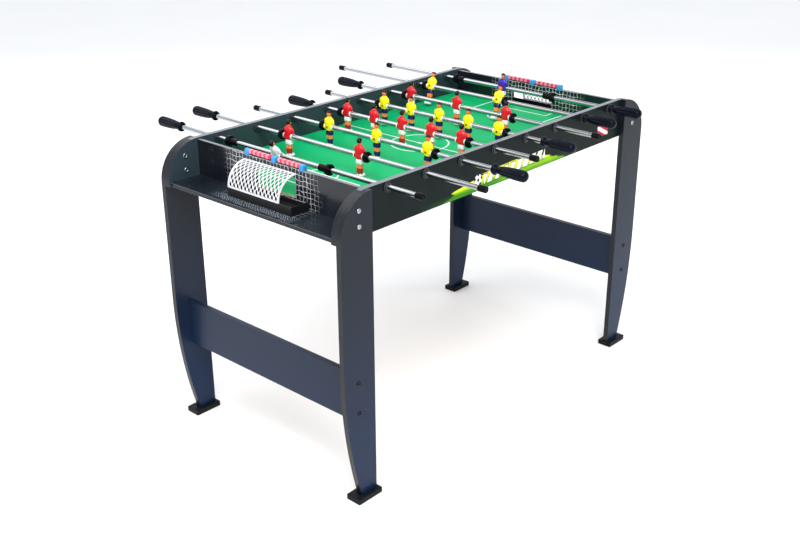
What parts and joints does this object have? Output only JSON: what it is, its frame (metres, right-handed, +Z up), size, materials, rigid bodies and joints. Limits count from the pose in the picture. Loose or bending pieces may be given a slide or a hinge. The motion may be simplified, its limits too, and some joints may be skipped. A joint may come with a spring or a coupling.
{
  "type": "foosball table",
  "caption": "Free-standing foosball table: shallow black cabinet on four curved board legs, sliding and spinning player rods, goals with nets and score counters at both ends.",
  "frame": {"origin": "on the floor, under the middle of the outline covered by the cabinet and the rods; the cabinet's own middle lies 65.5 mm towards -Y, because the rods stand further out on the +Y side at rest", "axes": "+X along the pitch, from the left goal to the right; +Y across the pitch, along the rods, to the far side panel; +Z up"},
  "size_m": [1.24, 1.131, 0.81],
  "materials": {
    "black_laminate": "near-black melamine laminate with a faint grain, satin",
    "leg_laminate": "blue-black melamine laminate, satin",
    "end_print": "glossy black film with a faded white net print",
    "pitch": "green printed film with white pitch lines, semi-gloss",
    "tray_black": "glossy black laminate",
    "foot_plastic": "moulded black plastic, fine texture",
    "zinc_steel": "bright zinc plating",
    "bearing_plastic": "moulded black nylon",
    "bush_plastic": "moulded dark nylon",
    "net_plastic": "white moulded plastic mesh",
    "box_plastic": "black moulded plastic",
    "counter_blue": "blue moulded plastic",
    "counter_red": "red and white moulded plastic",
    "chrome": "chromed steel tube",
    "team_red": "red shirt, white shorts, red socks, painted plastic",
    "team_yellow": "yellow shirt, navy shorts and socks, painted plastic",
    "keeper_white": "white shirt, dark shorts, painted plastic",
    "keeper_blue": "blue shirt, white shorts, painted plastic",
    "rubber_black": "black rubber and plastic",
    "grip_black": "ribbed black plastic, satin"
  },
  "bodies": {
    "table": {"side_panel_near": "black_laminate", "side_panel_far": "black_laminate", "end_panels": "end_print", "playfield": "pitch", "end_trays": "tray_black", "leg_left_near": "leg_laminate", "leg_left_far": "leg_laminate", "leg_right_near": "leg_laminate", "leg_right_far": "leg_laminate", "stretchers": "leg_laminate", "foot_pads": "foot_plastic", "fasteners": "zinc_steel", "bearing_housings": "bearing_plastic", "goal_nets": "net_plastic", "ball_boxes": "box_plastic", "score_brackets": "counter_blue"},
    "bushes_1": {"sleeves_1": "bush_plastic"},
    "player_rod_1": {"rod_1": "chrome", "men_1": "keeper_white", "stops_1": "rubber_black", "handle_1": "grip_black"},
    "bushes_2": {"sleeves_2": "bush_plastic"},
    "player_rod_2": {"rod_2": "chrome", "men_2": "team_red", "stops_2": "rubber_black", "handle_2": "grip_black"},
    "bushes_3": {"sleeves_3": "bush_plastic"},
    "player_rod_3": {"rod_3": "chrome", "men_3": "team_yellow", "stops_3": "rubber_black", "handle_3": "grip_black"},
    "bushes_4": {"sleeves_4": "bush_plastic"},
    "player_rod_4": {"rod_4": "chrome", "men_4": "team_red", "stops_4": "rubber_black", "handle_4": "grip_black"},
    "bushes_5": {"sleeves_5": "bush_plastic"},
    "player_rod_5": {"rod_5": "chrome", "men_5": "team_yellow", "stops_5": "rubber_black", "handle_5": "grip_black"},
    "bushes_6": {"sleeves_6": "bush_plastic"},
    "player_rod_6": {"rod_6": "chrome", "men_6": "team_red", "stops_6": "rubber_black", "handle_6": "grip_black"},
    "bushes_7": {"sleeves_7": "bush_plastic"},
    "player_rod_7": {"rod_7": "chrome", "men_7": "team_yellow", "stops_7": "rubber_black", "handle_7": "grip_black"},
    "bushes_8": {"sleeves_8": "bush_plastic"},
    "player_rod_8": {"rod_8": "chrome", "men_8": "keeper_blue", "stops_8": "rubber_black", "handle_8": "grip_black"},
    "counter_set_1": {"counters_1": "counter_red"},
    "counter_set_2": {"counters_2": "counter_red"},
    "counter_set_3": {"counters_3": "counter_red"},
    "counter_set_4": {"counters_4": "counter_red"}
  },
  "joints": [
    {"name": "rod_1_spin", "type": "hinge", "parent": "table", "child": "bushes_1", "pos_m": [-0.455, -0.0655, 0.766], "axis": [0, 1, 0], "continuous": true},
    {"name": "rod_1_slide", "type": "slide", "parent": "bushes_1", "child": "player_rod_1", "axis": [0, 1, 0], "range_m": [-0.1282, 0.0362]},
    {"name": "rod_2_spin", "type": "hinge", "parent": "table", "child": "bushes_2", "pos_m": [-0.325, -0.0655, 0.766], "axis": [0, 1, 0], "continuous": true},
    {"name": "rod_2_slide", "type": "slide", "parent": "bushes_2", "child": "player_rod_2", "axis": [0, 1, 0], "range_m": [-0.1472, 0.0917]},
    {"name": "rod_3_spin", "type": "hinge", "parent": "table", "child": "bushes_3", "pos_m": [-0.195, -0.0655, 0.766], "axis": [0, 1, 0], "continuous": true},
    {"name": "rod_3_slide", "type": "slide", "parent": "bushes_3", "child": "player_rod_3", "axis": [0, 1, 0], "range_m": [-0.0562, 0.0912]},
    {"name": "rod_4_spin", "type": "hinge", "parent": "table", "child": "bushes_4", "pos_m": [-0.065, -0.0655, 0.766], "axis": [0, 1, 0], "continuous": true},
    {"name": "rod_4_slide", "type": "slide", "parent": "bushes_4", "child": "player_rod_4", "axis": [0, 1, 0], "range_m": [-0.0372, 0.0462]},
    {"name": "rod_5_spin", "type": "hinge", "parent": "table", "child": "bushes_5", "pos_m": [0.065, -0.0655, 0.766], "axis": [0, 1, 0], "continuous": true},
    {"name": "rod_5_slide", "type": "slide", "parent": "bushes_5", "child": "player_rod_5", "axis": [0, 1, 0], "range_m": [-0.0372, 0.0462]},
    {"name": "rod_6_spin", "type": "hinge", "parent": "table", "child": "bushes_6", "pos_m": [0.195, -0.0655, 0.766], "axis": [0, 1, 0], "continuous": true},
    {"name": "rod_6_slide", "type": "slide", "parent": "bushes_6", "child": "player_rod_6", "axis": [0, 1, 0], "range_m": [-0.0962, 0.0512]},
    {"name": "rod_7_spin", "type": "hinge", "parent": "table", "child": "bushes_7", "pos_m": [0.325, -0.0655, 0.766], "axis": [0, 1, 0], "continuous": true},
    {"name": "rod_7_slide", "type": "slide", "parent": "bushes_7", "child": "player_rod_7", "axis": [0, 1, 0], "range_m": [-0.2387, 0]},
    {"name": "rod_8_spin", "type": "hinge", "parent": "table", "child": "bushes_8", "pos_m": [0.455, -0.0655, 0.766], "axis": [0, 1, 0], "continuous": true},
    {"name": "rod_8_slide", "type": "slide", "parent": "bushes_8", "child": "player_rod_8", "axis": [0, 1, 0], "range_m": [-0.1642, 0]},
    {"name": "counters_1_slide", "type": "slide", "parent": "table", "child": "counter_set_1", "axis": [0, 1, 0], "range_m": [0, 0.0066]},
    {"name": "counters_2_slide", "type": "slide", "parent": "table", "child": "counter_set_2", "axis": [0, -1, 0], "range_m": [0, 0.0066]},
    {"name": "counters_3_slide", "type": "slide", "parent": "table", "child": "counter_set_3", "axis": [0, -1, 0], "range_m": [0, 0.0066]},
    {"name": "counters_4_slide", "type": "slide", "parent": "table", "child": "counter_set_4", "axis": [0, 1, 0], "range_m": [0, 0.0066]}
  ]
}
